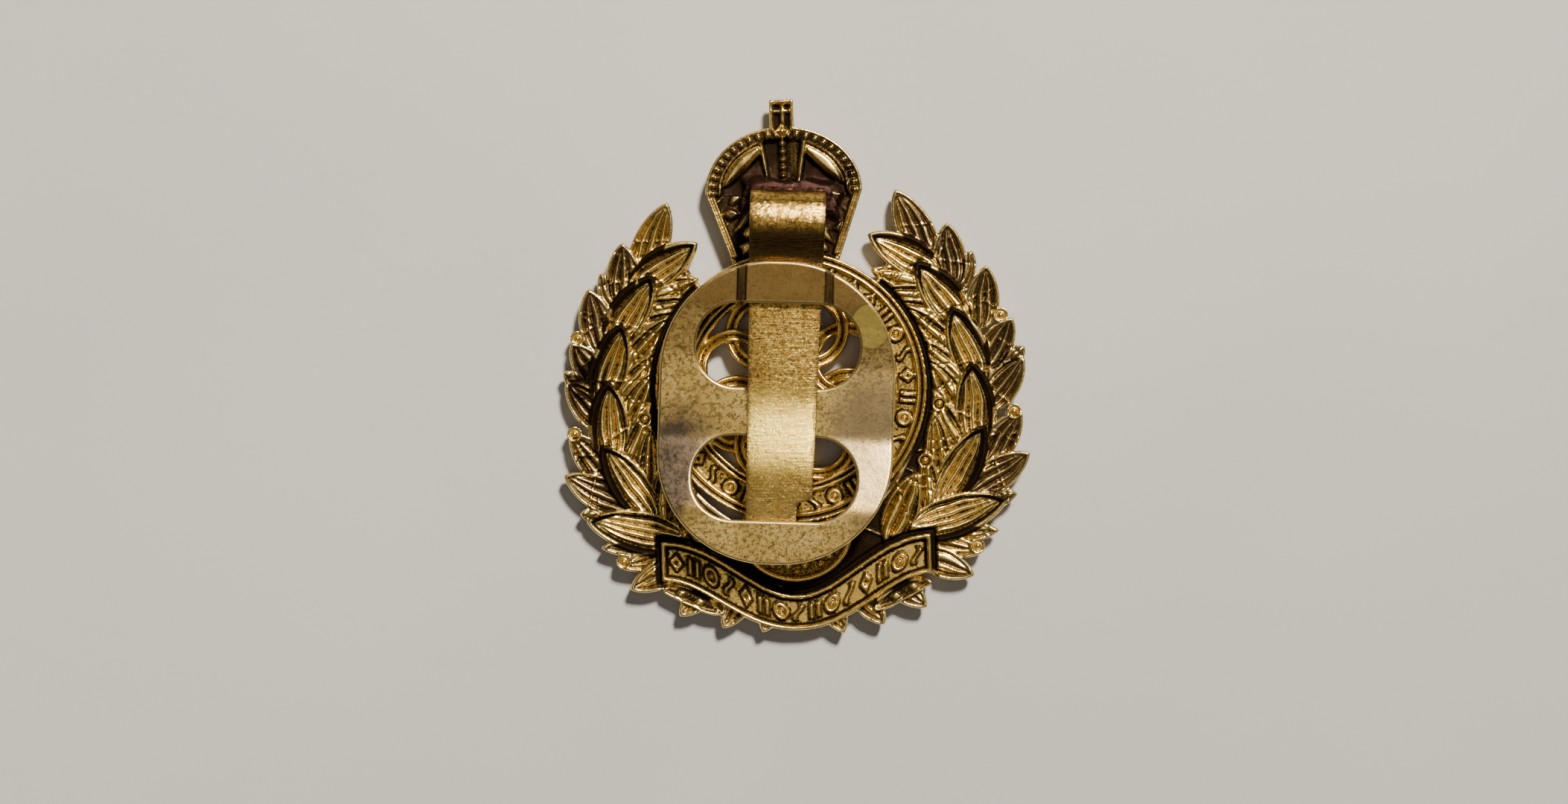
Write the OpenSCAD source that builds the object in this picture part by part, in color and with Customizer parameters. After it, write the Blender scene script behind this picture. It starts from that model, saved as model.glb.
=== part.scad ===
// Cap badge lying face down: struck sheet, brazed slider and a loose retaining plate.
// Millimetres. X across, Y towards the crown, Z up out of the back. Z = 0 is the face's highest relief.

/* [Sheet] */
// thickness of the struck sheet
sheet_t = 0.8; // [0.5:0.05:1.2]
// depth of the struck relief, from the sheet to the crest of a leaf
relief = 1.2; // [0.6:0.1:2]
// flat rim left round each leaf and ornament
rim = 0.4; // [0.2:0.05:0.8]
// scale of the whole wreath, 1 for the standard badge
wreath_scale = 1; // [0.8:0.01:1.2]

/* [Crown] */
// half width of the dome at its widest
crown_r = 6.43; // [5:0.1:8]
// height of the dome above its widest line
dome_h = 5.3; // [4:0.1:7]
// half width of the crown where it meets the ring
crown_foot = 4.4; // [3:0.1:6]
// width of the cross block on top
finial_w = 2; // [1.2:0.1:3]
// height of the cross block above the dome
finial_h = 2.2; // [1.2:0.1:4]

/* [Strap ring] */
// outer radius of the ring
ring_r = 11.15; // [9:0.1:13]
// width of the ring's band
ring_w = 3.15; // [2:0.05:4]
// radius of each interlaced ring in the pierced centre
knot_r = 3.2; // [2.8:0.1:4]
// width of an interlaced ring
knot_w = 1.05; // [0.8:0.05:1.8]
// number of interlaced rings
knot_n = 8; // [5:1:9]

/* [Ribbon] */
// half length of the ribbon
ribbon_l = 11.1; // [9:0.1:13]
// height of the ribbon
ribbon_h = 3.3; // [2:0.1:4.5]
// how far its middle hangs below its ends
ribbon_dip = 4.5; // [3:0.1:6]

/* [Slider] */
// width at the bend
slider_w = 6.1; // [5:0.1:8]
// width at the tip
slider_tip_w = 5.3; // [4:0.1:7]
// thickness of the strip
slider_t = 0.7; // [0.4:0.05:1]
// length from the bend to the tip
slider_l = 26.8; // [22:0.1:34]
// clear height between the badge's back and the strip
slider_gap = 2.3; // [1.8:0.1:4]
// lean of the strip, clockwise from behind
slider_lean = 3.5; // [0:0.1:5]

/* [Retaining plate] */
// width across the plate
plate_w = 19.1; // [16:0.1:24]
// height of the bar below the lower opening
foot_h = 3.5; // [2:0.1:6]
// thickness of the plate
plate_t = 0.6; // [0.4:0.05:0.9]
// radius of its corners
plate_corner = 9; // [5:0.1:9.5]
// width of each opening
opening_w = 13.3; // [11:0.1:16]
// height of each opening
opening_h = 6.8; // [5:0.1:8]
// width of the cross web between the openings
web_h = 3.9; // [3:0.1:5]
// depth of the bridge over the strip
bridge_h = 3.4; // [2:0.1:5]
// clearance between plate and strip, above and below
play = 0.12; // [0.05:0.01:0.3]
// side play of the strip inside the bridge
side_play = 0.15; // [0.05:0.05:1]

/* [Hidden] */
eps = 0.01;

back_z = relief + sheet_t;               // the back's flat level
strip_z = back_z + slider_gap;           // underside of the strip
strip_mid = strip_z + slider_t / 2;
web_z = strip_mid - slider_t / 2 - play - plate_t / 2;
bridge_z = strip_mid + slider_t / 2 + play + plate_t / 2;

ring_y = -1.64;                          // centre of the strap ring
ring_in = ring_r - ring_w;
knot_d = ring_in - knot_r + 0.15;        // distance of the interlaced rings from the centre
wreath_y = -3.78;                        // centre of the wreath's arcs
branch_turn = 1.2;                       // the two branches are struck slightly turned
crown_base_y = ring_y + ring_r - 0.81;   // the crown stands on the ring
crown_y = crown_base_y + 5.7;            // the crown's widest line
crown_x = -0.1;
strap_end_y = ring_y - ring_r - 0.81;
ribbon_y = strap_end_y - 2;
slider_x = 0.24;                         // middle of the slider's bend
slider_y = crown_y - 0.6;
pocket_z = relief - 0.1;                 // floor of the crown's and the ribbon's hollows
plate_l = bridge_h + 2 * opening_h + web_h + foot_h;
plate_drop = 5.35;                       // from the slider's bend down to the top of the plate
plate_side = -0.45;                      // the plate hangs to one side in its play

// One branch, as [degrees from the top, distance from the wreath's centre, outward turn, length, width].
MAIN_LEAVES = [[36.7, 16, -6, 5.2, 2.4], [53.2, 15.7, 0, 5.2, 2.6], [70.3, 15.4, 0, 5.2, 2.6],
    [88.7, 15, 0, 5.3, 2.7], [108.7, 14.7, 13, 6, 2.6], [124.1, 16.1, 41, 7.4, 2.9]];
OUTER_LEAVES = [[35.9, 18.3, 30, 5.9, 2.5], [47.7, 18.3, 41, 4.5, 2.3], [61.7, 18.3, 38, 4.5, 2.3],
    [74, 17.9, 49, 3.9, 2.1], [84.7, 17.7, 43, 4.4, 2.2], [99.5, 17.4, 28, 4.6, 2.2],
    [108.8, 17.8, 40, 5, 2.2], [127.8, 17.1, 52, 5.2, 1.4], [132.6, 17.3, 58, 4, 1.3],
    [137.2, 17.9, 66, 3.8, 1.8], [150, 17.4, 72, 3.4, 1.7], [161, 16.9, 74, 3.4, 1.7],
    [171, 16.6, 76, 3.2, 1.6]];
INNER_LEAVES = [[41, 14.2, -24, 4, 1.2], [46.5, 13.6, -37, 3.6, 0.9], [52, 13.2, -37, 3.6, 0.9],
    [60.6, 13, -14, 4.8, 1.7], [72.5, 13, -28, 4, 1], [82.4, 12.6, -23, 4.7, 1.9],
    [94.6, 12.7, -30, 4, 1], [108.4, 12.5, -22, 6.2, 1.6], [119, 12.5, -32, 4.2, 1],
    [132.6, 11.9, -18, 5, 2.2]];
BERRIES = [[66, 12.1], [89.4, 12.1], [112.6, 11.6], [67.8, 18.9], [92.5, 18.2], [128.5, 18.7]];
BACK_TIPS = [[53.5, 18.1, 64, 3.2, 1.7], [79.5, 18.2, 62, 3, 1.6], [115.5, 17.9, 60, 3.2, 1.6]];

// A leaf's outline about its centre, pointing along X.
function leaf_shape(l, w) = [[l / 2, 0], [l * 0.24, w * 0.4], [-l * 0.06, w / 2], [-l * 0.34, w * 0.36],
    [-l / 2, 0], [-l * 0.34, -w * 0.36], [-l * 0.06, -w / 2], [l * 0.24, -w * 0.4]];

module both_branches()
    translate([0, wreath_y]) rotate(branch_turn) scale([wreath_scale, wreath_scale, 1])
        for (side = [0, 1]) mirror([side, 0]) children();

module at_leaf(p)
    translate([p[1] * sin(p[0]), p[1] * cos(p[0])]) rotate(180 - p[0] - p[2]) children();

module arc_band(r1, r2, from, to, step = 6)
    polygon([for (a = [from : step : to]) r2 * [sin(a), cos(a)],
             for (a = [to : -step : from]) r1 * [sin(a), cos(a)]]);

module leaf_rims(leaves)
    for (p = leaves) at_leaf(p) polygon(leaf_shape(p[3] + 1.6 * rim, p[4] + 1.4 * rim));

module wreath_outline()
    both_branches() {
        leaf_rims(concat(MAIN_LEAVES, OUTER_LEAVES, INNER_LEAVES, BACK_TIPS));
        arc_band((ring_r - 1.35) / wreath_scale, 17.2, 34, 184);
        for (b = BERRIES) translate(b[1] * [sin(b[0]), cos(b[0])]) circle(0.55 + rim / 2, $fn = 10);
    }

// A struck leaf is a steep-sided pocket behind and the same shape standing out in front.
module leaf_solid(l, w, depth, floor_share)
    hull() mirror([0, 0, 1]) linear_extrude(depth, scale = floor_share) polygon(leaf_shape(l, w));

module leaf_pockets(leaves, depth)
    for (p = leaves) at_leaf(p) translate([0, 0, back_z + eps]) leaf_solid(p[3], p[4], depth, 0.72);

module leaf_bosses(leaves, depth)
    for (p = leaves) at_leaf(p) translate([0, 0, relief + eps])
        leaf_solid(p[3] + 1.2 * rim, p[4] + rim, depth + eps, 0.74);

// The leaves' hollows stop at the ring, which is struck over them.
module wreath_pockets() difference() {
    both_branches() {
        leaf_pockets(concat(OUTER_LEAVES, INNER_LEAVES, BACK_TIPS), relief * 0.65);
        leaf_pockets(MAIN_LEAVES, relief);
        for (b = BERRIES) translate([each b[1] * [sin(b[0]), cos(b[0])], back_z - 0.5])
            cylinder(1, 0.25, 0.45, $fn = 8);
    }
    translate([0, ring_y, 0]) cylinder(back_z + 2, ring_r - 0.25, ring_r - 0.25, $fn = 72);
}

module crown_outline(inset = 0) translate([crown_x, 0]) {
    r = crown_r - inset;
    polygon(concat([for (a = [0 : 9 : 180]) [r * cos(a), crown_y + (dome_h - inset) * sin(a)]],
        [[-crown_foot + inset, crown_base_y + inset], [crown_foot - inset, crown_base_y + inset]]));
}

module finial_outline(inset = 0)
    translate([crown_x - finial_w / 2 + inset, crown_y + dome_h - 0.8])
        square([finial_w - 2 * inset, finial_h + 0.8 - inset]);

// The ribbon's edge, at a share of its height from its middle line.
function ribbon_mid(x) = ribbon_y - ribbon_dip * (1 + cos(180 * x / ribbon_l)) / 2;
function ribbon_edge(x, share, inset) = ribbon_mid(x) + share * (ribbon_h - 2 * inset) / 2;

module ribbon_outline(inset = 0, end = 0) {
    l = ribbon_l - end;
    polygon([for (i = [-12 : 12]) [l * i / 12, ribbon_edge(l * i / 12, 1, inset)],
             for (i = [12 : -1 : -12]) [l * i / 12, ribbon_edge(l * i / 12, -1, inset)]]);
}

// Interlaced rings, with what lies between them pierced.
module knot_outline()
    for (k = [1 : knot_n]) rotate(180 / knot_n * (2 * k - 1) + 2.3) translate([knot_d, 0]) difference() {
        circle(knot_r, $fn = 30);
        circle(knot_r - knot_w, $fn = 24);
    }

module sheet_outline() {
    wreath_outline();
    crown_outline();
    finial_outline();
    ribbon_outline();
    translate([0, ring_y]) {
        difference() {
            circle(ring_r, $fn = 72);
            circle(ring_in, $fn = 60);
        }
        knot_outline();
    }
    strap_end_outline();
}

// The ring's strap hangs in a loop between the ring and the ribbon.
module strap_end_outline(inset = 0)
    translate([0, strap_end_y]) scale([1, 0.86]) circle(4.6 - inset, $fn = 30);

module ring_ornaments(z, h)
    for (a = [6 : 12 : 354]) rotate(a) translate([ring_in + ring_w / 2, 0, z])
        hull() linear_extrude(h, scale = 0.7) square([1.3, 0.5], center = true);

module ring_channel()
    translate([0, ring_y, back_z - 0.45]) linear_extrude(1) difference() {
        circle(ring_r - 0.55, $fn = 60);
        circle(ring_in + 0.5, $fn = 48);
    }

module crown_pockets() {
    for (side = [-1, 1]) translate([crown_x, 0, pocket_z + 0.05]) linear_extrude(1.2 + sheet_t) {
        // puffs of the cap, under the arches
        polygon([for (a = [12 : 13 : 77]) [side * (crown_r - 1.23) * cos(a), crown_y + 0.9 + (dome_h - 1.7) * sin(a)],
                 for (a = [77 : -13 : 12]) [side * (crown_r - 2.33) * cos(a), crown_y + 0.9 + (dome_h - 2.9) * sin(a)]]);
        // side fields below them
        polygon([[side * (crown_r - 1.43), crown_y - 0.8], [side * (crown_foot - 0.7), crown_y - 1],
            [side * (crown_foot - 0.8), crown_base_y + 1.2], [side * (crown_foot - 0.4), crown_base_y + 1.2]]);
    }
    translate([crown_x, crown_y + dome_h + 0.5, back_z - 0.6]) linear_extrude(1)
        square([finial_w - 2 * rim, finial_h - rim], center = true);
}

module crown_beads()
    for (a = [6 : 12 : 174]) translate([crown_x + (crown_r - 0.45) * cos(a),
        crown_y + (dome_h - 0.45) * sin(a), back_z - 0.1]) cylinder(0.35, 0.3, 0.18, $fn = 6);

module ribbon_ornaments()
    for (i = [-9 : 9]) {
        x = i * ribbon_l / 10;
        translate([x, ribbon_mid(x), pocket_z - 0.05])
            hull() linear_extrude(0.6, scale = 0.7) rotate(45 * (1 + i % 2)) square([1.1, 0.55], center = true);
    }

module badge_face() color([0.62, 0.47, 0.22]) union() {
    difference() {
        union() {
            translate([0, 0, relief]) linear_extrude(sheet_t) sheet_outline();
            both_branches() {
                leaf_bosses(concat(OUTER_LEAVES, INNER_LEAVES, BACK_TIPS), relief * 0.6);
                leaf_bosses(MAIN_LEAVES, relief);
            }
            translate([0, 0, relief * 0.3]) linear_extrude(relief) {
                crown_outline(rim);
                ribbon_outline(rim / 2, rim / 2);
            }
            translate([0, 0, relief * 0.5]) linear_extrude(relief) finial_outline(rim / 2);
            translate([0, ring_y, relief * 0.55]) linear_extrude(relief * 0.6) difference() {
                circle(ring_r - rim, $fn = 60);
                circle(ring_in + rim, $fn = 48);
            }
        }
        wreath_pockets();
        ring_channel();
        crown_pockets();
        translate([0, 0, pocket_z]) linear_extrude(1.2 + sheet_t) ribbon_outline(rim, rim);
    }
    translate([0, ring_y]) ring_ornaments(back_z - 0.5, 0.42);
    ribbon_ornaments();
    crown_beads();
}

// Places what belongs to the leaning strip, with Y = 0 at its bend.
module on_slider_line() translate([slider_x, slider_y]) rotate(-slider_lean) children();

// Extrudes a shape drawn in Y and Z along X.
module across(w) translate([-w / 2, 0]) rotate([90, 0, 90]) linear_extrude(w) children();

// The strip's middle line, from the foot on the crown over its hump to the shank.
SLIDER_LINE = [[0.3, 0], [0.25, 1.1], [0.05, 2.1], [-0.5, 2.83], [-1.3, 3.24], [-2.2, 3.36], [-3.1, 3.18],
    [-3.9, 2.9], [-4.6, 2.66], [-5.2, 2.51]];

// Unit normal of a line at one of its points, on the left of its way.
function way(line, i) = line[min(i + 1, len(line) - 1)] - line[max(i - 1, 0)];
function side_of(line, i) = let (d = way(line, i)) [-d[1], d[0]] / norm(d);

module slider_profile() {
    rise = slider_gap + slider_t / 2;
    line = concat([for (p = SLIDER_LINE) [p[0], back_z + p[1] * rise / 2.5]],
        [[-5.7, strip_mid], [-slider_l, strip_mid]]);
    n = len(line);
    polygon(concat(
        [for (i = [0 : n - 1]) line[i] + side_of(line, i) * slider_t / 2 + (i == 0 ? [0, 0.012] : [0, 0])],
        [for (i = [n - 1 : -1 : 0]) line[i] - side_of(line, i) * slider_t / 2
            + (i == 0 ? [0, 0.012] : [0, 0])]));
}

module slider_blank() intersection() {
    across(slider_w + 2) slider_profile();
    linear_extrude(20) polygon([[-slider_w / 2, 2], [slider_w / 2, 2], [slider_w / 2, -2],
        [slider_tip_w / 2, -slider_l + 2.3], [slider_tip_w / 2 - 1.2, -slider_l + 2.2],
        [slider_tip_w / 2 - 1.3, -slider_l - 1], [-slider_tip_w / 2, -slider_l - 1]]);
    translate([0, 0, back_z]) linear_extrude(20) square([20, 80], center = true);
}

module slider() color([0.72, 0.58, 0.3]) on_slider_line() slider_blank();

// Filler metal, hollow-sided, along both sides of the strip's foot.
module slider_braze() color([0.42, 0.26, 0.2]) on_slider_line() difference() {
    translate([0, 0, back_z]) across(slider_w + 2.2)
        polygon([[-1.1, 0], [-0.55, 0.14], [-0.2, 0.5], [-0.05, 1], [0.55, 1], [0.75, 0.5], [1.1, 0.2], [1.8, 0]]);
    slider_blank();
}

module rounded(w, h, r) {
    square([w - 2 * r, h], center = true);
    square([w, h - 2 * r], center = true);
    for (x = [-1, 1], y = [-1, 1]) translate([x * (w / 2 - r), y * (h / 2 - r)]) circle(r, $fn = 96);
}

// Heights of the plate's middle line, down from its top edge.
upper_y = -bridge_h;
web_top = upper_y - opening_h;
web_low = web_top - web_h;
lower_y = web_low - opening_h;
wing_z = bridge_z - plate_t - 0.05;
PLATE_LINE = [[0.5, wing_z], [upper_y, wing_z], [web_top + 1.8, web_z], [web_low, web_z],
    [lower_y + 0.7, bridge_z], [-plate_l - 1, bridge_z]];

module plate_profile()
    polygon(concat([for (p = PLATE_LINE) [p[0], p[1] - plate_t / 2]],
        [for (i = [len(PLATE_LINE) - 1 : -1 : 0]) PLATE_LINE[i] + [0, plate_t / 2]]));

// The bridge's section across the strip: raised in the middle, with a sloped wall each side.
module bridge_section() {
    a = slider_w / 2 + side_play;
    b = a + 0.65;
    h = plate_t / 2;
    polygon([[-b - 0.3, wing_z - h], [-b + 0.1, wing_z - h], [-a + 0.03, bridge_z - h], [a - 0.03, bridge_z - h],
        [b - 0.1, wing_z - h], [b + 0.3, wing_z - h], [b + 0.3, wing_z + h], [b, wing_z + h],
        [a + 0.02, bridge_z + h], [-a - 0.02, bridge_z + h], [-b, wing_z + h], [-b - 0.3, wing_z + h]]);
}

module plate_outline() difference() {
    translate([0, -plate_l / 2]) rounded(plate_w, plate_l, min(plate_corner, plate_w / 2 - 0.2));
    for (y = [upper_y - opening_h / 2, lower_y + opening_h / 2])
        translate([0, y]) rounded(opening_w, opening_h, opening_h / 2 - 0.1);
}

module retaining_plate() color([0.55, 0.46, 0.28])
    on_slider_line() translate([plate_side, -plate_drop]) intersection() {
        union() {
            difference() {
                across(plate_w + 2) plate_profile();
                translate([-plate_side, 0]) linear_extrude(20)
                    translate([-slider_w / 2 - side_play - 0.85, upper_y - 0.3])
                        square([slider_w + 2 * side_play + 1.7, bridge_h + 2]);
            }
            translate([-plate_side, 1, 0]) rotate([90, 0, 0]) linear_extrude(bridge_h + 1.3) bridge_section();
        }
        linear_extrude(20) plate_outline();
    }

badge_face();
slider();
slider_braze();
retaining_plate();
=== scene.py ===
"""Looks of a struck brass cap badge lying on its face on pale paper, with its slider and its loose retaining plate.

Lengths are in millimetres and become metres where a mesh is made. X is across the badge, Y towards the crown and Z up
out of its back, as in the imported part.
"""
import math

import bpy
import numpy as np
from mathutils import Matrix, Vector

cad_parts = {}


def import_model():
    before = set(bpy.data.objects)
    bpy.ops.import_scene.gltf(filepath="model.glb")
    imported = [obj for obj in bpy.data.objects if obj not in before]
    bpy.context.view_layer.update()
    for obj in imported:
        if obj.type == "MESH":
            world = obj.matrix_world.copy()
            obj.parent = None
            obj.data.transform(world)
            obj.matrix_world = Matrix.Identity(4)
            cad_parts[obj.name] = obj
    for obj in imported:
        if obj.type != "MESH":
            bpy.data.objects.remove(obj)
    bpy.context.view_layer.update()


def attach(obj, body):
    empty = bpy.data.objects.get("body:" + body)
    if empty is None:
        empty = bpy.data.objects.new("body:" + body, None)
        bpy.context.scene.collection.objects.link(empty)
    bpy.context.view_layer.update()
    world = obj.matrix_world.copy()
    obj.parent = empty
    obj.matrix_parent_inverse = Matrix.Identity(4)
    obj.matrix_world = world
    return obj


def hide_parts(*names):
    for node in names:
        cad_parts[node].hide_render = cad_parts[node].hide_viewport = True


MM = 0.001
RNG = np.random.default_rng(7)
PER_METRE = 1000.0          # turns object coordinates into millimetres for the textures
GRID = 0.085                # spacing of the sheet's and the plate's height fields

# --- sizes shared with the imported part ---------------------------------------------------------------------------
BACK_Z = 2.0
RIM = 0.4
CROWN_X, CROWN_Y, CROWN_R, DOME_H, CROWN_BASE_Y, CROWN_FOOT = -0.1, 14.4, 6.43, 5.3, 8.7, 4.4
FINIAL_W, FINIAL_H = 2.0, 2.2
RING_Y, RING_R, RING_W = -1.64, 11.15, 3.15
RING_IN = RING_R - RING_W
KNOT_R, KNOT_W, KNOT_N = 3.2, 1.05, 8
KNOT_D = RING_IN - KNOT_R + 0.15
STRAP_END_Y = -13.6
WREATH_Y, BRANCH_TURN = -3.78, math.radians(1.2)
RIBBON_L, RIBBON_H, RIBBON_DIP, RIBBON_Y = 11.1, 3.3, 4.5, -15.6
SLIDER_X, SLIDER_Y, SLIDER_LEAN = 0.24, 13.8, math.radians(3.5)
SLIDER_W, SLIDER_TIP_W, SLIDER_T, SLIDER_L, SLIDER_GAP = 6.1, 5.3, 0.7, 26.8, 2.3
PLATE_W, PLATE_T, PLATE_CORNER = 19.1, 0.6, 9.0
OPENING_W, OPENING_H, WEB_H, BRIDGE_H, FOOT_H = 13.3, 6.8, 3.9, 3.4, 3.5
PLATE_L = BRIDGE_H + 2 * OPENING_H + WEB_H + FOOT_H
PLAY, SIDE_PLAY, PLATE_DROP, PLATE_SIDE = 0.12, 0.15, 5.35, -0.45
STRIP_MID = BACK_Z + SLIDER_GAP + SLIDER_T / 2
WEB_Z = STRIP_MID - SLIDER_T / 2 - PLAY - PLATE_T / 2
BRIDGE_Z = STRIP_MID + SLIDER_T / 2 + PLAY + PLATE_T / 2
WING_Z = BRIDGE_Z - PLATE_T - 0.05

# --- sizes of the visual model only ------------------------------------------------------------------------------
SHEET_T, FACE_LOW, FACE_HIGH = 0.8, 0.03, 1.25
WREATH_MID, WREATH_HALF, WREATH_START = 13.4, 3.4, 34
BERRY_R = 0.6
LETTER_PLACES, FIRST_LETTER = 34, 4          # ornaments round the ring, and the first one's angle
RIBBON_PLACES = 7                            # ornaments on each half of the ribbon
KNOT_TURN = 2.3
LOOP_R, LOOP_SQUASH = 4.6, 0.86
CORNER_W, CORNER_L, TAPER_END = 1.22, 2.2, 2.3
BRAZE_HALF, BRAZE_TOP, BRAZE_FOOT = 3.75, 1.3, 0.95
HAT_SLOPE = 0.65
VIEW_W, VIEW_X, VIEW_Y, VIEW_TURN, LENS, SENSOR = 128.3, -0.62, -2.84, -1.8, 55, 36
PAPER_SIZE, LIGHT_AWAY = 1.6, 0.6            # in metres

# One branch, as (degrees from the top, distance from the wreath's centre, outward turn, length, width).
MAIN_LEAVES = [(36.7, 16, -6, 5.2, 2.4), (53.2, 15.7, 0, 5.2, 2.6), (70.3, 15.4, 0, 5.2, 2.6),
               (88.7, 15, 0, 5.3, 2.7), (108.7, 14.7, 13, 6, 2.6), (124.1, 16.1, 41, 7.4, 2.9)]
OUTER_LEAVES = [(35.9, 18.3, 30, 5.9, 2.5), (47.7, 18.3, 41, 4.5, 2.3), (61.7, 18.3, 38, 4.5, 2.3),
                (74, 17.9, 49, 3.9, 2.1), (84.7, 17.7, 43, 4.4, 2.2), (99.5, 17.4, 28, 4.6, 2.2),
                (108.8, 17.8, 40, 5, 2.2), (127.8, 17.1, 52, 5.2, 1.4), (132.6, 17.3, 58, 4, 1.3),
                (137.2, 17.9, 66, 3.8, 1.8), (150, 17.4, 72, 3.4, 1.7), (161, 16.9, 74, 3.4, 1.7),
                (171, 16.6, 76, 3.2, 1.6)]
INNER_LEAVES = [(41, 14.2, -24, 4, 1.2), (46.5, 13.6, -37, 3.6, 0.9), (52, 13.2, -37, 3.6, 0.9),
                (60.6, 13, -14, 4.8, 1.7), (72.5, 13, -28, 4, 1), (82.4, 12.6, -23, 4.7, 1.9),
                (94.6, 12.7, -30, 4, 1), (108.4, 12.5, -22, 6.2, 1.6), (119, 12.5, -32, 4.2, 1),
                (132.6, 11.9, -18, 5, 2.2)]
BERRIES = [(66, 12.1), (89.4, 12.1), (112.6, 11.6), (67.8, 18.9), (92.5, 18.2), (128.5, 18.7)]
BACK_TIPS = [(53.5, 18.1, 64, 3.2, 1.7), (79.5, 18.2, 62, 3, 1.6), (115.5, 17.9, 60, 3.2, 1.6)]


# --- height fields -----------------------------------------------------------------------------------------------
def smooth(a, b, x):
    t = np.clip((x - a) / (b - a), 0, 1)
    return t * t * (3 - 2 * t)


class Field:
    """A grid of points over a rectangle."""

    def __init__(self, x0, x1, y0, y1, step):
        self.step = step
        self.x = np.arange(x0, x1 + step / 2, step)
        self.y = np.arange(y0, y1 + step / 2, step)
        self.X, self.Y = np.meshgrid(self.x, self.y)

    def window(self, cx, cy, reach):
        i = np.searchsorted(self.y, [cy - reach, cy + reach])
        j = np.searchsorted(self.x, [cx - reach, cx + reach])
        return slice(i[0], i[1]), slice(j[0], j[1])

    def blur(self, z, sigma):
        pad = int(4 * sigma / self.step) + 2
        p = np.pad(z, pad, mode="edge")
        fy = np.fft.fftfreq(p.shape[0], self.step)[:, None]
        fx = np.fft.rfftfreq(p.shape[1], self.step)[None, :]
        g = np.exp(-2 * (math.pi * sigma) ** 2 * (fx ** 2 + fy ** 2))
        return np.fft.irfft2(np.fft.rfft2(p) * g, s=p.shape)[pad:-pad, pad:-pad]

    def noise(self, sigma):
        n = self.blur(RNG.standard_normal(self.X.shape), sigma)
        return n / n.std()


# Corners of a cell in order round it, and what each side joins.
CORNERS = [(0, 0), (0, 1), (1, 1), (1, 0)]


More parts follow.
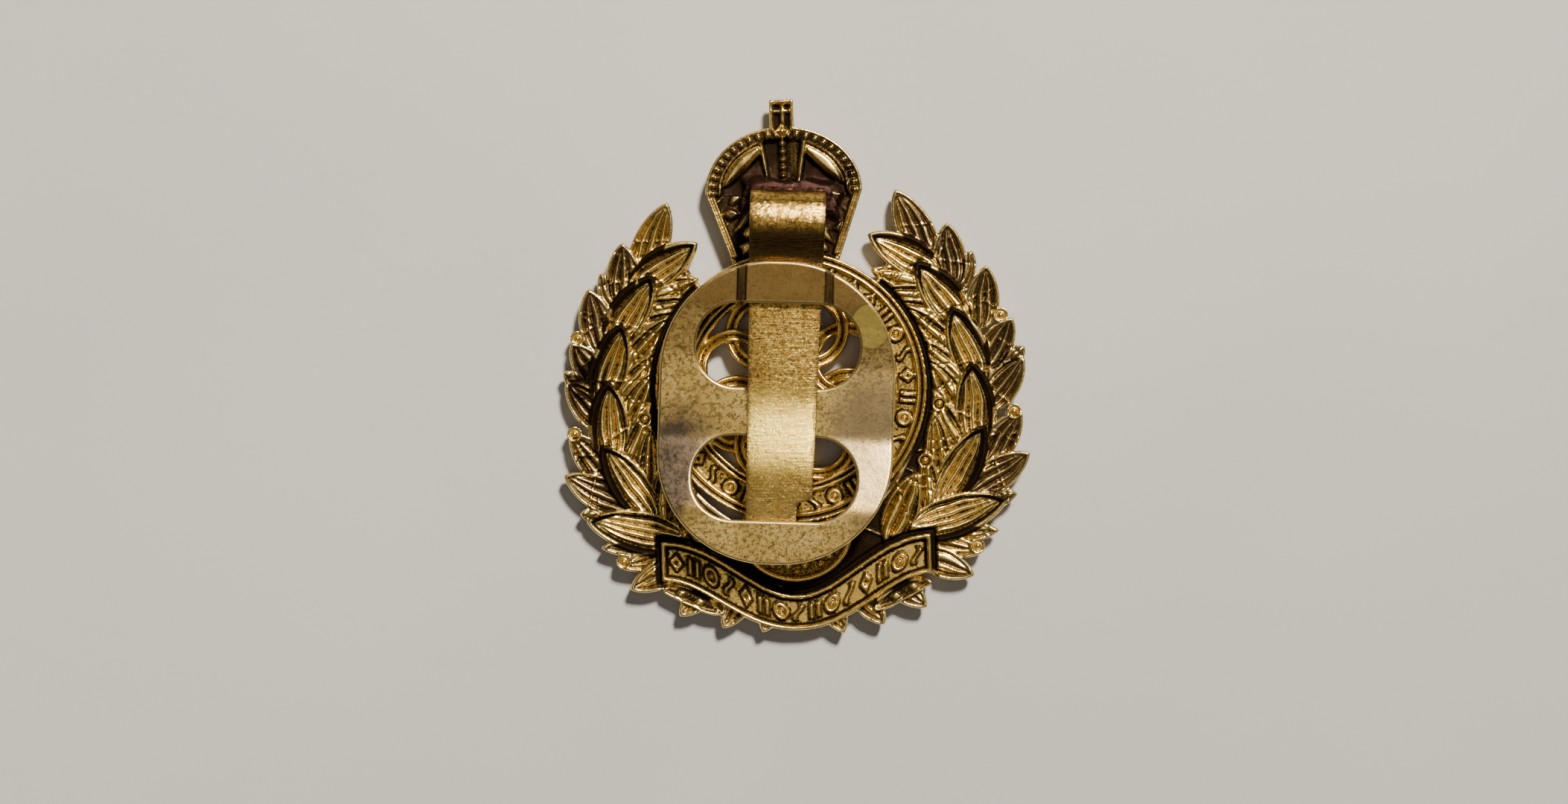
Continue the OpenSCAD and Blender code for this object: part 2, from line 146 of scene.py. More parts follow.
def plate_mesh(name, field, f, top, bottom, values):
    """A closed mesh over where f is negative, between the heights top and bottom, with values as point attributes."""
    ny, nx = f.shape
    inside = f < 0
    index = np.full(f.shape, -1)
    index[inside] = np.arange(inside.sum())
    pos = [np.stack([field.X[inside], field.Y[inside]], 1)]
    data = {k: [v[inside]] for k, v in {"top": top, "bottom": bottom, **values}.items()}
    count = int(inside.sum())
    sides = {}
    for axis in (1, 0):
        a = (slice(None), slice(0, -1)) if axis else (slice(0, -1), slice(None))
        b = (slice(None), slice(1, None)) if axis else (slice(1, None), slice(None))
        cross = inside[a] != inside[b]
        fa, fb = f[a][cross], f[b][cross]
        t = np.clip(fa / (fa - fb), 0.06, 0.94)
        pos.append(np.stack([field.X[a][cross] * (1 - t) + field.X[b][cross] * t,
                             field.Y[a][cross] * (1 - t) + field.Y[b][cross] * t], 1))
        for k, v in {"top": top, "bottom": bottom, **values}.items():
            data[k].append(v[a][cross] * (1 - t) + v[b][cross] * t)
        at = np.full(cross.shape, -1)
        at[cross] = count + np.arange(cross.sum())
        count += int(cross.sum())
        sides[axis] = at
    pos = np.concatenate(pos)
    data = {k: np.concatenate(v) for k, v in data.items()}
    side_at = [sides[1][:-1, :], sides[0][:, 1:], sides[1][1:, :], sides[0][:, :-1]]
    bits = sum(inside[di:ny - 1 + di, dj:nx - 1 + dj].astype(int) << k for k, (di, dj) in enumerate(CORNERS))
    loops, sizes, walls = [], [], []
    for pattern in range(1, 16):
        here = bits == pattern
        if not here.any():
            continue
        row, col = np.nonzero(here)
        tokens = []
        for k in range(4):
            on, after = pattern >> k & 1, pattern >> (k + 1) % 4 & 1
            if on:
                tokens.append(("corner", index[row + CORNERS[k][0], col + CORNERS[k][1]]))
            if on != after:
                tokens.append(("side", side_at[k][row, col]))
        loops.append(np.stack([t[1] for t in tokens], 1).ravel())
        sizes.append(np.full(len(row), len(tokens)))
        for k, (kind, a) in enumerate(tokens):
            if kind == "side" and tokens[(k + 1) % len(tokens)][0] == "side":
                walls.append(np.stack([a, tokens[(k + 1) % len(tokens)][1]], 1))
    loops, sizes, walls = np.concatenate(loops), np.concatenate(sizes), np.concatenate(walls)
    starts = np.concatenate([[0], np.cumsum(sizes)[:-1]])
    within = np.arange(len(loops)) - np.repeat(starts, sizes)
    reverse = loops[np.repeat(starts, sizes) + np.repeat(sizes, sizes) - 1 - within] + count
    wall_loops = np.stack([walls[:, 1], walls[:, 0], walls[:, 0] + count, walls[:, 1] + count], 1)
    all_loops = np.concatenate([loops, reverse, wall_loops.ravel()])
    all_sizes = np.concatenate([sizes, sizes, np.full(len(walls), 4)])
    co = np.concatenate([np.column_stack([pos, data["top"]]), np.column_stack([pos, data["bottom"]])]) * MM
    me = bpy.data.meshes.new(name)
    me.vertices.add(len(co))
    me.vertices.foreach_set("co", co.astype(np.float32).ravel())
    me.loops.add(len(all_loops))
    me.loops.foreach_set("vertex_index", all_loops.astype(np.int32))
    me.polygons.add(len(all_sizes))
    me.polygons.foreach_set("loop_start", np.concatenate([[0], np.cumsum(all_sizes)[:-1]]).astype(np.int32))
    me.polygons.foreach_set("use_smooth", np.ones(len(all_sizes), bool))
    me.update(calc_edges=True)
    # The rim's two edges stay crisp.
    edge_of = np.empty(len(all_loops), np.int32)
    me.loops.foreach_get("edge_index", edge_of)
    wall_edges = edge_of[2 * len(loops):].reshape(-1, 4)
    sharp = np.zeros(len(me.edges), bool)
    sharp[wall_edges[:, [0, 2]].ravel()] = True
    me.attributes.new("sharp_edge", "BOOLEAN", "EDGE").data.foreach_set("value", sharp)
    for k in values:
        both = np.concatenate([data[k], data[k]]).astype(np.float32)
        me.attributes.new(k, "FLOAT", "POINT").data.foreach_set("value", both)
    # Back on the left of the map, face on the right, and the rim in rows of small cells below.
    low, size = pos.min(0), float(np.ptp(pos, axis=0).max())
    margin, full, half, band, columns = 0.01, 0.98, 0.48, 0.46, 120
    unit = (pos - low) / size * half
    uv = np.concatenate([unit[loops] + [margin, 0.5], (unit * [-1, 1] + [full, 0.5])[reverse - count]])
    n = np.arange(len(walls))
    rows = int(np.ceil(len(walls) / columns))
    cell = np.stack([margin + full * (n % columns) / columns, margin + band * (n // columns) / rows], 1)
    w, h = full / columns * 0.96, band / rows * 0.8
    quad = np.stack([cell, cell + [w, 0], cell + [w, h], cell + [0, h]], 1).reshape(-1, 2)
    me.uv_layers.new(name="OFBake").uv.foreach_set("vector", np.concatenate([uv, quad]).astype(np.float32).ravel())
    ob = bpy.data.objects.new(name, me)
    bpy.context.scene.collection.objects.link(ob)
    return ob


def rounded_rim(f, radius):
    """How far a surface drops towards its rim, with f the distance to it, negative inside."""
    d = np.clip(-f, 0, radius)
    return radius - np.sqrt(np.maximum(radius ** 2 - (radius - d) ** 2, 0))


# --- the struck sheet --------------------------------------------------------------------------------------------
def leaf_width(s):
    """Half width of a leaf along it, from -1 at its foot to 1 at its tip."""
    s = np.clip(s, -1, 1)
    return ((1 - s) ** 0.72 * (1 + s) ** 0.5) / 1.036


def placed(p, side, shift=0.0):
    """Centre and direction of a leaf of one branch, side being 1 for the right one."""
    a = math.radians(p[0])
    x, y = side * (p[1] + shift) * math.sin(a), (p[1] + shift) * math.cos(a)
    turn = math.radians(p[2]) if len(p) > 2 else 0
    way = math.pi - a - turn
    if side < 0:
        way = math.pi - way
    c, s = math.cos(BRANCH_TURN), math.sin(BRANCH_TURN)
    return c * x - s * y, s * x + c * y + WREATH_Y, way + BRANCH_TURN


class Sheet:
    """The struck sheet's back as a height field, with what colours it."""

    def __init__(self):
        self.field = Field(-20.4, 20.4, -23, 22.9, GRID)
        self.shape = self.field.X.shape
        self.f = np.full(self.shape, 5.0)         # distance to the outline, negative inside
        self.z = np.zeros(self.shape)             # height from the flat of the back
        self.soot_and_shade = np.zeros(self.shape)          # dirt and tarnish laid over the metal, with painted shade in hollows, grooves and on walls
        self.tone = np.full(self.shape, 0.5)      # how bright the metal is, from brown to gold and over 1 polished
        self.wobble = self.field.noise(0.45)
        self.ripple = self.field.noise(0.2)

    def put(self, where, z=None, soot_and_shade=None, tone=None):
        for name, value in (("z", z), ("soot_and_shade", soot_and_shade), ("tone", tone)):
            if value is not None:
                setattr(self, name, np.where(where, value, getattr(self, name)))


def leaf_edge(u, v, length, width):
    """How far inside a leaf's outline a point is, where it is along the leaf, and the half width there."""
    s = u / (length / 2)
    w = width / 2 * leaf_width(s)
    past = np.maximum(np.abs(u) - length / 2, 0)
    return np.where(past > 0, -past, (w - np.abs(v)) * 0.92), s, w


def strike_leaf(sh, p, side, depth, tone, ribs, walls, foot=0.0, shift=0.0, rib_h=0.24, edge_shade=0.5):
    """One leaf: a hollow with steep walls, wider on the outer side, painted dark as shade, and ribs along its floor
    with painted shade in the grooves between them.
    """
    cx, cy, way = placed(p, side, shift)
    length, width = p[3], p[4]
    win = sh.field.window(cx, cy, length / 2 + 1.6)
    dx, dy = sh.field.X[win] - cx, sh.field.Y[win] - cy
    c, s = math.cos(way), math.sin(way)
    u, v = dx * c + dy * s, dy * c - dx * s
    rim_e = leaf_edge(u, v, length + 1.8 * RIM, width + 1.5 * RIM)[0]
    sh.f[win] = np.minimum(sh.f[win], -rim_e)
    wob, rip = sh.wobble[win], sh.ripple[win]
    e, s, w = leaf_edge(u + foot / 2, v, length + 0.7 * RIM + foot, width + 0.75 * RIM)
    e = e + 0.012 * wob
    out = -side * v
    lean = smooth(-0.5 * width, 0.5 * width, out + 0.35 * width * s)
    wall = walls[0] + (walls[1] - walls[0]) * lean
    down = smooth(0, wall * 0.9, e)
    half = np.maximum(w - (walls[0] + walls[1]) / 2 + 0.05, 0.12)
    across = (out + (walls[1] - walls[0]) / 2) / half + 0.03 * wob + 0.1 * np.sin(2.2 * s + 5 * p[0])
    wave = np.cos(2 * math.pi * (across * ribs / 2 + (0 if ribs % 2 else 0.5)))
    rib = smooth(-0.85, 0.4, wave + 0.05 * rip)
    floor = -depth * (1 - 0.35 * np.clip(s, -1, 1) ** 2) + rib_h * rib + 0.18 * (1 - np.clip(across, -1, 1) ** 2)
    floor = floor + 0.008 * rip
    on = (rim_e > -0.1) | (e > 0)
    land = -0.08 - 0.22 * (1 - smooth(-0.1, 0.2, np.maximum(rim_e, e)))
    # Painted shade: the walls are painted dark, more on the outer side, and so are the grooves between the ribs.
    dark = (1 - smooth(0.6 * wall, wall * 1.1, e)) * np.where(e > 0.04, 1, edge_shade * (0.4 + 0.6 * lean))
    groove = (1 - rib) * smooth(0.8 * wall, 1.2 * wall, e)
    sh.z[win] = np.where(on, land + down * (floor - land), sh.z[win])
    sh.soot_and_shade[win] = np.where(on, np.maximum(dark, 0.75 * groove + 0.06 * wob), sh.soot_and_shade[win])
    # The raised ribs are painted a little brighter, a painted highlight.
    keep = tone * (0.86 + 0.14 * rib) * (1 + 0.1 * wob)
    sh.tone[win] = np.where(e > 0, keep, np.where(on, 0.3 + 0.3 * tone, sh.tone[win]))


def strike_berry(sh, p, side):
    """A small bump in a round hollow. The left branch's outer ones stand a little further in."""
    cx, cy = placed(p, side, -0.3 if side < 0 and p[1] > 15 else 0)[:2]
    win = sh.field.window(cx, cy, 1.2)
    r = np.hypot(sh.field.X[win] - cx, sh.field.Y[win] - cy)
    sh.f[win] = np.minimum(sh.f[win], r - BERRY_R)
    bump = -0.45 + 0.36 * np.sqrt(np.clip(1 - (r / 0.3) ** 2, 0, 1))
    ring = -0.1 - 0.35 * (1 - smooth(0.38, 0.5, r))
    sh.z[win] = np.where(r < 0.36, bump, np.where(r < 0.62, ring, sh.z[win]))
    # A dark ring in the hollow round the bump is painted shade.
    sh.soot_and_shade[win] = np.where(r < 0.62, smooth(0.2, 0.32, r) * smooth(0.5, 0.4, r), sh.soot_and_shade[win])
    sh.tone[win] = np.where(r < 0.62, 0.8, sh.tone[win])


def strike_wreath(sh):
    X, Y = sh.field.X, sh.field.Y
    wr = np.hypot(X, Y - WREATH_Y)
    turn = np.degrees(np.arctan2(np.abs(X), Y - WREATH_Y))
    band = np.maximum(np.abs(wr - WREATH_MID) - WREATH_HALF, (WREATH_START - turn) * 0.25)
    sh.f = np.minimum(sh.f, band)
    # The wreath's sunk ground is painted dark as shade.
    sh.put(band < 0.3, -0.6, 0.9, 0.3)
    for side in (1, -1):

        def pull(p):
            """The left branch is struck a little narrower."""
            return (-0.4 - 0.45 * math.exp(-((p[0] - 82) / 16) ** 2)) if side < 0 else 0

        for p in BACK_TIPS:
            strike_leaf(sh, p, side, 0.5, 0.55, 1, (0.12, 0.22), shift=pull(p))
        for p in OUTER_LEAVES:
            low = p[0] > 120
            tone = 0.62 if low else (0.42 if side > 0 else 0.36)
            tone = 0.8 if p[0] < 40 and side < 0 else tone
            strike_leaf(sh, p, side, 0.7, tone, 3 if p[4] > 2.15 else 2, (0.14, 0.26), 0.4,
                        pull(p) * (0.3 if p[0] < 40 else 1))
        for p in INNER_LEAVES:
            strike_leaf(sh, p, side, 0.62, 0.95, 2 if p[4] > 1.5 else 1, (0.1, 0.2), 0.8, rib_h=0.34)
        for b in BERRIES:
            strike_berry(sh, b, side)
        for p in MAIN_LEAVES:
            last = p is MAIN_LEAVES[-1]
            strike_leaf(sh, p, side, 0.82, 1.35, 4 if last else 3, (0.18, 0.55), 0.2 if last else 1.0, rib_h=0.3,
                        edge_shade=0.95)


def ornament(kind, u, v, size=1.0):
    """Plain marks in the places of letters: how far inside a bar, a lozenge, a ring or a wave a point is."""
    u, v = u / size, v / size
    if kind == 0:
        d = 0.58 - np.abs(v) * 0.8 - np.abs(u)
        d = np.where(d > 0.3, 0.42 - d, d)
    elif kind == 1:
        d = np.minimum(0.6 - np.abs(v), 0.17 - np.abs(np.abs(u) - 0.3))
    elif kind == 2:
        r = np.hypot(u, v)
        d = np.maximum(0.2 - r, 0.15 - np.abs(r - 0.5))
    else:
        d = np.minimum(0.6 - np.abs(v), 0.17 - np.abs(u - 0.3 * np.sin(v * 3.6)))
    return np.where((np.abs(u) < 0.8) & (np.abs(v) < 0.9), d * size, -1)


def strike_ring(sh):
    X, Y = sh.field.X, sh.field.Y - RING_Y
    r = np.hypot(X, Y)
    ring_f = np.maximum(r - RING_R, RING_IN - r)
    # A deep gap outside the ring, painted dark as shade.
    gap = smooth(RING_R + 0.5, RING_R + 0.32, r) * (r > RING_R - 0.1) * (Y < 12.5)
    sh.z = np.minimum(sh.z, sh.z * (1 - gap) - 0.72 * gap)
    sh.soot_and_shade = np.maximum(sh.soot_and_shade, gap)
    # Two raised edges, each with a groove beside it painted dark as shade, and a sunk band of letter places, painted
    # darker, between them.
    across = [RING_IN, RING_IN + 0.18, RING_IN + 0.3, RING_IN + 0.42, RING_IN + 0.6, RING_IN + 0.8,
              RING_R - 0.98, RING_R - 0.8, RING_R - 0.6, RING_R - 0.48, RING_R - 0.34, RING_R - 0.2, RING_R]
    z = np.interp(r, across, [-0.1, 0, -0.3, -0.3, -0.06, -0.42, -0.42, -0.1, -0.1, -0.36, -0.36, 0.0, 0.0])
    soot_and_shade = np.interp(r, across, [0, 0, 0.95, 0.95, 0, 0.6, 0.6, 0, 0, 1, 1, 0, 0])
    mark = np.full(sh.shape, -1.0)
    mid = RING_IN + RING_W / 2 + 0.02
    for k in range(LETTER_PLACES):
        a = math.radians(k * 360 / LETTER_PLACES + FIRST_LETTER)
        u, v = Y * math.cos(a) - X * math.sin(a), X * math.cos(a) + Y * math.sin(a) - mid
        mark = np.maximum(mark, ornament((k * 7 + k // 5) % 4, u, v, 0.95))
    z = z + 0.4 * smooth(-0.05, 0.09, mark)
    # A dark outline round each mark is painted shade at its foot.
    soot_and_shade = soot_and_shade * (1 - smooth(-0.06, 0.06, mark)) + 0.5 * smooth(-0.24, -0.08, mark) * smooth(0, -0.06, mark)
    sh.put((r < RING_R) & (r > RING_IN - 0.2), z, soot_and_shade, 1.0 + 0.35 * smooth(-0.06, 0.08, mark))

    # Interlaced rings in the pierced centre, each passing over and under its neighbours.
    knot, knot_z, edge = np.full(sh.shape, 9.0), np.full(sh.shape, -0.4), np.full(sh.shape, 0.0)
    for k in range(KNOT_N):
        a = math.radians(180 / KNOT_N * (2 * k + 1) + KNOT_TURN)
        kx, ky = X - KNOT_D * math.cos(a), Y - KNOT_D * math.sin(a)
        c = (np.hypot(kx, ky) - KNOT_R + KNOT_W / 2) / (KNOT_W / 2)
        way = np.arctan2(ky, kx) - a
        level = 0.16 * np.sin(way * 4)
        shape = level - 0.12 - 0.26 * smooth(0.5, 0.15, np.abs(c)) - 0.1 * smooth(0.75, 1, np.abs(c))
        upper = (np.abs(c) < 1) & ((knot > 0) | (shape > knot_z))
        knot_z = np.where(upper, shape, knot_z)
        # A groove along the middle of each ring is painted dark as shade.
        edge = np.where(upper, 0.75 * smooth(0.45, 0.15, np.abs(c)), edge)
        knot = np.minimum(knot, (np.abs(c) - 1) * KNOT_W / 2)
    sh.put((r < RING_IN) & (knot < 0.3), knot_z, edge, 0.85)
    sh.f = np.where(r < RING_IN + 0.3, np.minimum(np.where(r < RING_IN, RING_IN - r, ring_f), knot),
                    np.minimum(sh.f, ring_f))

    # The strap's loose end, in a loop under the ring.
    loop = (LOOP_R - np.hypot(X, (sh.field.Y - STRAP_END_Y) / LOOP_SQUASH)) * 0.9
    z = np.interp(loop, [-0.45, -0.15, 0, 0.3, 0.42, 0.6], [-0.7, -0.7, -0.04, -0.04, -0.42, -0.42])
    dots = np.cos(X * 4.6) * np.cos((sh.field.Y + 17) * 4.2)
    z = z + 0.3 * smooth(0.1, 0.6, dots) * (loop > 0.7)
    # The strap's edge and the sunk ground round it are painted dark as shade; the raised dots are left light.
    soot_and_shade = np.interp(loop, [-0.2, 0, 0.3, 0.45], [1, 0, 0, 0.6]) * (1 - smooth(0.1, 0.6, dots) * (loop > 0.7))
    sh.put((loop > -0.45) & (r > RING_R + 0.1) & (Y < -9.4), z, soot_and_shade, 0.75)
    sh.f = np.minimum(sh.f, -loop)
    return r


def strike_crown(sh, r):
    X, Y = sh.field.X, sh.field.Y
    cx, cy = X - CROWN_X, Y - CROWN_Y
    dome = np.where(cy > 0, np.hypot(cx / CROWN_R, cy / DOME_H), 0)
    half = CROWN_FOOT + (CROWN_R - CROWN_FOOT) * np.clip((Y - CROWN_BASE_Y) / (CROWN_Y - CROWN_BASE_Y), 0, 1)
    e = np.where(cy > 0, (1 - dome) * DOME_H * 1.05, np.minimum((half - np.abs(cx)) * 0.94, Y - CROWN_BASE_Y + 1.2))
    finial = np.minimum(FINIAL_W / 2 - np.abs(cx), CROWN_Y + DOME_H + FINIAL_H - Y)
    finial = np.where(cy > DOME_H - 1, finial, -5)
    sh.f = np.minimum(sh.f, -np.maximum(e, finial))
    on = (e > 0) & (r > RING_R)
    turn = np.degrees(np.arctan2(cy * CROWN_R / DOME_H, np.abs(cx)))
    upper = cy > -0.2
    # Rim, a row of beads, a line painted dark as shade, then the cap's puffs as bright crescents, their inner edges
    # painted dark as shade, round a deep middle painted dark as shade.
    z = np.interp(e, [0, 0.12, 0.2, 0.28, 0.9, 1.0, 1.12, 1.2], [-0.05, 0, 0, -0.36, -0.36, -0.1, -0.1, -0.75])
    soot_and_shade = np.interp(e, [0.16, 0.24, 0.92, 1.0, 1.12, 1.2], [0, 0.75, 0.85, 0.3, 0.3, 1])
    bead = 0.5 + 0.5 * np.cos(np.radians(turn) * 46)
    beads = np.clip(1 - ((e - 0.55) / 0.3) ** 2, 0, 1) * smooth(0.2, 0.7, bead) * upper
    z, soot_and_shade = z + 0.36 * beads, soot_and_shade * (1 - beads)
    wide = 0.95 * np.sin(np.radians(np.clip((turn - 8) / 66, 0, 1) * 180)) ** 0.6
    puff = np.minimum(e - 1.22, 1.22 + wide - e)
    puff_on = upper & (turn > 8) & (turn < 74) & (puff > -0.15)
    bowl = -0.55 + 0.3 * smooth(-0.15, 0.3, puff)
    z = np.where(puff_on, bowl, z)
    soot_and_shade = np.where(puff_on, smooth(0.12, -0.08, puff), soot_and_shade)
    tone = np.where(puff_on, 1.35, 0.42)
    inner = upper & (e > 1.2) & ~puff_on
    z, soot_and_shade = np.where(inner, -0.95 + 0.08 * sh.wobble, z), np.where(inner, 0.97, soot_and_shade)
    # The middle arch: a flaring cup with a string of beads down it, on a ground painted dark as shade, raised on its
    # right and painted lighter there as painted light.
    flare = 1.35 + 0.16 * cy
    arch = upper & (np.abs(cx) < flare) & (e > 1.0) & (cy > 0.6)
    string = np.clip(1 - (cx / 0.36) ** 2, 0, 1) * (0.35 + 0.65 * smooth(0.25, 0.8, 0.5 + 0.5 * np.cos(cy * 9.5)))
    lip = smooth(0.28, 0.08, np.abs(np.abs(cx) - flare + 0.22))
    z = np.where(arch, -0.95 + 0.62 * string + 0.5 * lip + 0.25 * smooth(0.4, 1.2, cx), z)
    soot_and_shade = np.where(arch, 0.95 - 0.6 * string - 0.55 * lip - 0.5 * smooth(0.4, 0.9, cx) * smooth(1.3, 1.0, cx), soot_and_shade)
    tone = np.where(arch, 0.55, tone)
    # Scrolls in the fields beside the strip, raised from a ground painted dark as shade.
    side = ~upper & (e > 0.3)
    curl = np.sin(cx * 3.1 + 1.4 * np.sin(Y * 2.1 + np.abs(cx))) * np.cos(Y * 2.7 + np.abs(cx) * 1.5)
    curl = smooth(-0.15, 0.45, curl) * smooth(0.42, 0.75, e)
    line = smooth(0.34, 0.42, e) * smooth(0.66, 0.58, e)
    z = np.where(side, -0.6 + 0.48 * np.maximum(curl * (e > 0.7), line), z)
    soot_and_shade = np.where(side, 0.9 - 0.7 * np.maximum(curl * (e > 0.7), line), soot_and_shade)
    tone = np.where(side, 0.5, tone)
    sh.put(on, z, np.clip(soot_and_shade, 0, 1), tone)
    # A flat pad carries the braze.
    sx, sy = X - SLIDER_X, Y - SLIDER_Y
    c, s = math.cos(SLIDER_LEAN), math.sin(SLIDER_LEAN)
    lx, ly = sx * c - sy * s, sy * c + sx * s
    pad = np.minimum(3.6 - np.abs(lx), 1.1 - np.abs(ly - 0.1)) + 0.2 * sh.wobble
    level = smooth(-0.6, 0.25, pad) * on
    sh.z = sh.z * (1 - level)
    braze = smooth(-1.5, 0.2, pad + 0.3 * sh.wobble + 0.3 * (ly > 0)) * on
    sh.soot_and_shade = sh.soot_and_shade * (1 - 0.3 * braze)
    # The block above the dome, hollow with a small cross in it, and an orb at its foot; the hollow and the orb's edge
    # are painted dark as shade.
    up = Y - (CROWN_Y + DOME_H)
    cross = np.maximum(smooth(0.24, 0.1, np.abs(cx - 0.1)), smooth(0.22, 0.08, np.abs(up - 1.3))) * (up > 0.2)
    inside = smooth(0.24, 0.36, finial)
    fz, fs = -0.6 * inside + 0.4 * inside * cross, 0.95 * inside * (1 - 0.7 * cross)
    fin_on = (finial > 0) & (up > -0.3)
    sh.put(fin_on, fz, fs, 0.6)
    orb = (np.abs(cx) * 1.1 + np.abs(up + 0.35)) / 0.75
    sh.put(orb < 1, -0.5 + 0.45 * (1 - orb), smooth(0.75, 1, orb), 0.75)
    # Where the crown meets the ring, a sunk gap painted dark as shade.
    meet = (r > RING_R) & (r < RING_R + 0.35) & (np.abs(X) < 5.2) & (Y > 0)
    sh.put(meet, -0.5, 1.0)
    return braze


def strike_ribbon(sh):
    X, Y = sh.field.X, sh.field.Y
    bend = math.pi * np.clip(X / RIBBON_L, -1, 1)
    middle = RIBBON_Y - RIBBON_DIP * (1 + np.cos(bend)) / 2
    slope = RIBBON_DIP * math.pi / RIBBON_L / 2 * np.sin(bend)
    level = 1 / np.sqrt(1 + slope ** 2)
    yy = (Y - middle) * level
    hh = RIBBON_H / 2 * (0.88 + 0.12 * np.abs(X) / RIBBON_L)
    e = np.minimum(hh - np.abs(yy), RIBBON_L - np.abs(X))
    sh.f = np.minimum(sh.f, -e)
    # Turned-back folds below its two ends, their edges painted dark as shade.
    ends = np.clip(np.minimum(11 - np.abs(X), np.abs(X) - 6.2) / 1.6, 0, 1)
    fold = np.where(ends > 0, 0.75 * np.sqrt(ends) - np.abs(yy + 2.3 + 0.05 * (np.abs(X) - 9)), -1)
    sh.f = np.minimum(sh.f, -fold)
    pleat = smooth(0.1, 0.7, np.sin(np.abs(X) * 4.2 + yy * 3)) * (fold > 0.3)
    sh.put(fold > -0.1, np.interp(fold, [-0.1, 0, 0.16, 0.3], [-0.5, -0.08, -0.08, -0.45]) + 0.3 * pleat,
           np.interp(fold, [-0.05, 0.02, 0.16, 0.28], [1, 0, 0, 0.8]) * (1 - pleat), 0.6)
    # A deep trench outside the ribbon's upper edge and ends, painted dark as shade.
    trench = (e > -0.42) & (e <= 0) & ((yy > 0) | (np.abs(X) > RIBBON_L - 0.3) | (fold > -0.4))
    sh.put(trench, np.minimum(sh.z, -0.75), 1.0)
    # A sunk band inside the ribbon's raised edge, painted dark as shade.
    z = np.interp(e, [0, 0.14, 0.3, 0.46, 0.62], [-0.08, 0, 0, -0.48, -0.52])
    soot_and_shade = np.interp(e, [0.28, 0.42, 0.56, 0.7], [0, 0.95, 0.95, 0.42])
    mark = np.full(sh.shape, -1.0)
    for k in range(-RIBBON_PLACES, RIBBON_PLACES + 1):
        u = (X - k * RIBBON_L / 7.9) / level
        mark = np.maximum(mark, ornament((k + RIBBON_PLACES + (k > 0)) % 4, u, yy, 1.05))
    inside = e > 0.42
    z = z + 0.48 * smooth(-0.05, 0.09, mark) * inside
    # A dark outline round each mark is painted shade at its foot.
    soot_and_shade = soot_and_shade * (1 - smooth(-0.06, 0.06, mark)) + 0.5 * smooth(-0.24, -0.08, mark) * smooth(0, -0.06, mark) * inside
    sh.put(e > 0, z, np.clip(soot_and_shade, 0, 1), 1.1 + 0.3 * smooth(-0.06, 0.08, mark))


def build_badge():
    sh = Sheet()
    strike_wreath(sh)
    r = strike_ring(sh)
    braze = strike_crown(sh, r)
    strike_ribbon(sh)
    field, f = sh.field, sh.f
    z = field.blur(sh.z, 0.065) + 0.005 * field.noise(0.16) + 0.02 * field.noise(0.9)
    broad = field.blur(z, 0.24)
    gy, gx = np.gradient(z, field.step)
    # Painted shade: hollows lower than their surroundings and steep walls are darkened. A patch on the left edge is
    # made darker too.
    soot_and_shade = np.maximum(field.blur(sh.soot_and_shade, 0.045), 0.8 * np.clip((broad - z) / 0.22, 0, 1))
    soot_and_shade = np.maximum(soot_and_shade, 0.75 * np.clip((np.hypot(gx, gy) - 0.9) / 1.6, 0, 1))
    patch = np.exp(-((field.X + 17.6) / 1.9) ** 2 - ((field.Y - 0.2) / 2.6) ** 2)
    soot_and_shade = np.clip(soot_and_shade + 0.6 * patch * (1 + 0.3 * sh.wobble), 0, 1)
    top = BACK_Z + z - rounded_rim(f, 0.16)
    bottom = np.clip(BACK_Z + field.blur(z, 0.2) - SHEET_T, FACE_LOW, FACE_HIGH) + rounded_rim(f, 0.12)
    bottom = np.minimum(bottom, top - 0.25)
    # A band along the outline, away from the ring, loses its dark and is painted paler, partly as wear and partly as a
    # painted highlight.
    rim = smooth(-0.42, -0.14, f) * smooth(10.4, 11, np.hypot(field.X, field.Y - RING_Y))
    values = {"soot_and_shade": soot_and_shade * (1 - 0.9 * rim), "ridge": np.maximum(0.7 * np.clip((z - broad) / 0.16, 0, 1), rim),
              "tone": field.blur(sh.tone, 0.07), "braze": field.blur(braze, 0.1), "rim": rim}
    return plate_mesh("badge_sheet", field, f, top, bottom, values)


# --- slider, braze and plate -------------------------------------------------------------------------------------
def on_slider_line(ob):
    ob.location = (SLIDER_X * MM, SLIDER_Y * MM, 0)
    ob.rotation_euler = (0, 0, -SLIDER_LEAN)
    bpy.context.view_layer.update()
    ob.data.transform(ob.matrix_world)
    ob.matrix_world.identity()
    ob.location, ob.rotation_euler = (0, 0, 0), (0, 0, 0)


def spline(points, per):
    """A smooth line through points."""
    p = np.array(points, float)
    p = np.vstack([2 * p[0] - p[1], p, 2 * p[-1] - p[-2]])
    out = []
    for i in range(1, len(p) - 2):
        for t in np.linspace(0, 1, per, endpoint=False):
            a, b, c, d = p[i - 1:i + 3]
            square, cube = 2 * a - 5 * b + 4 * c - d, 3 * b - a - 3 * c + d
            out.append(0.5 * (2 * b + (c - a) * t + square * t * t + cube * t ** 3))
    out.append(p[-2])
    return np.array(out)


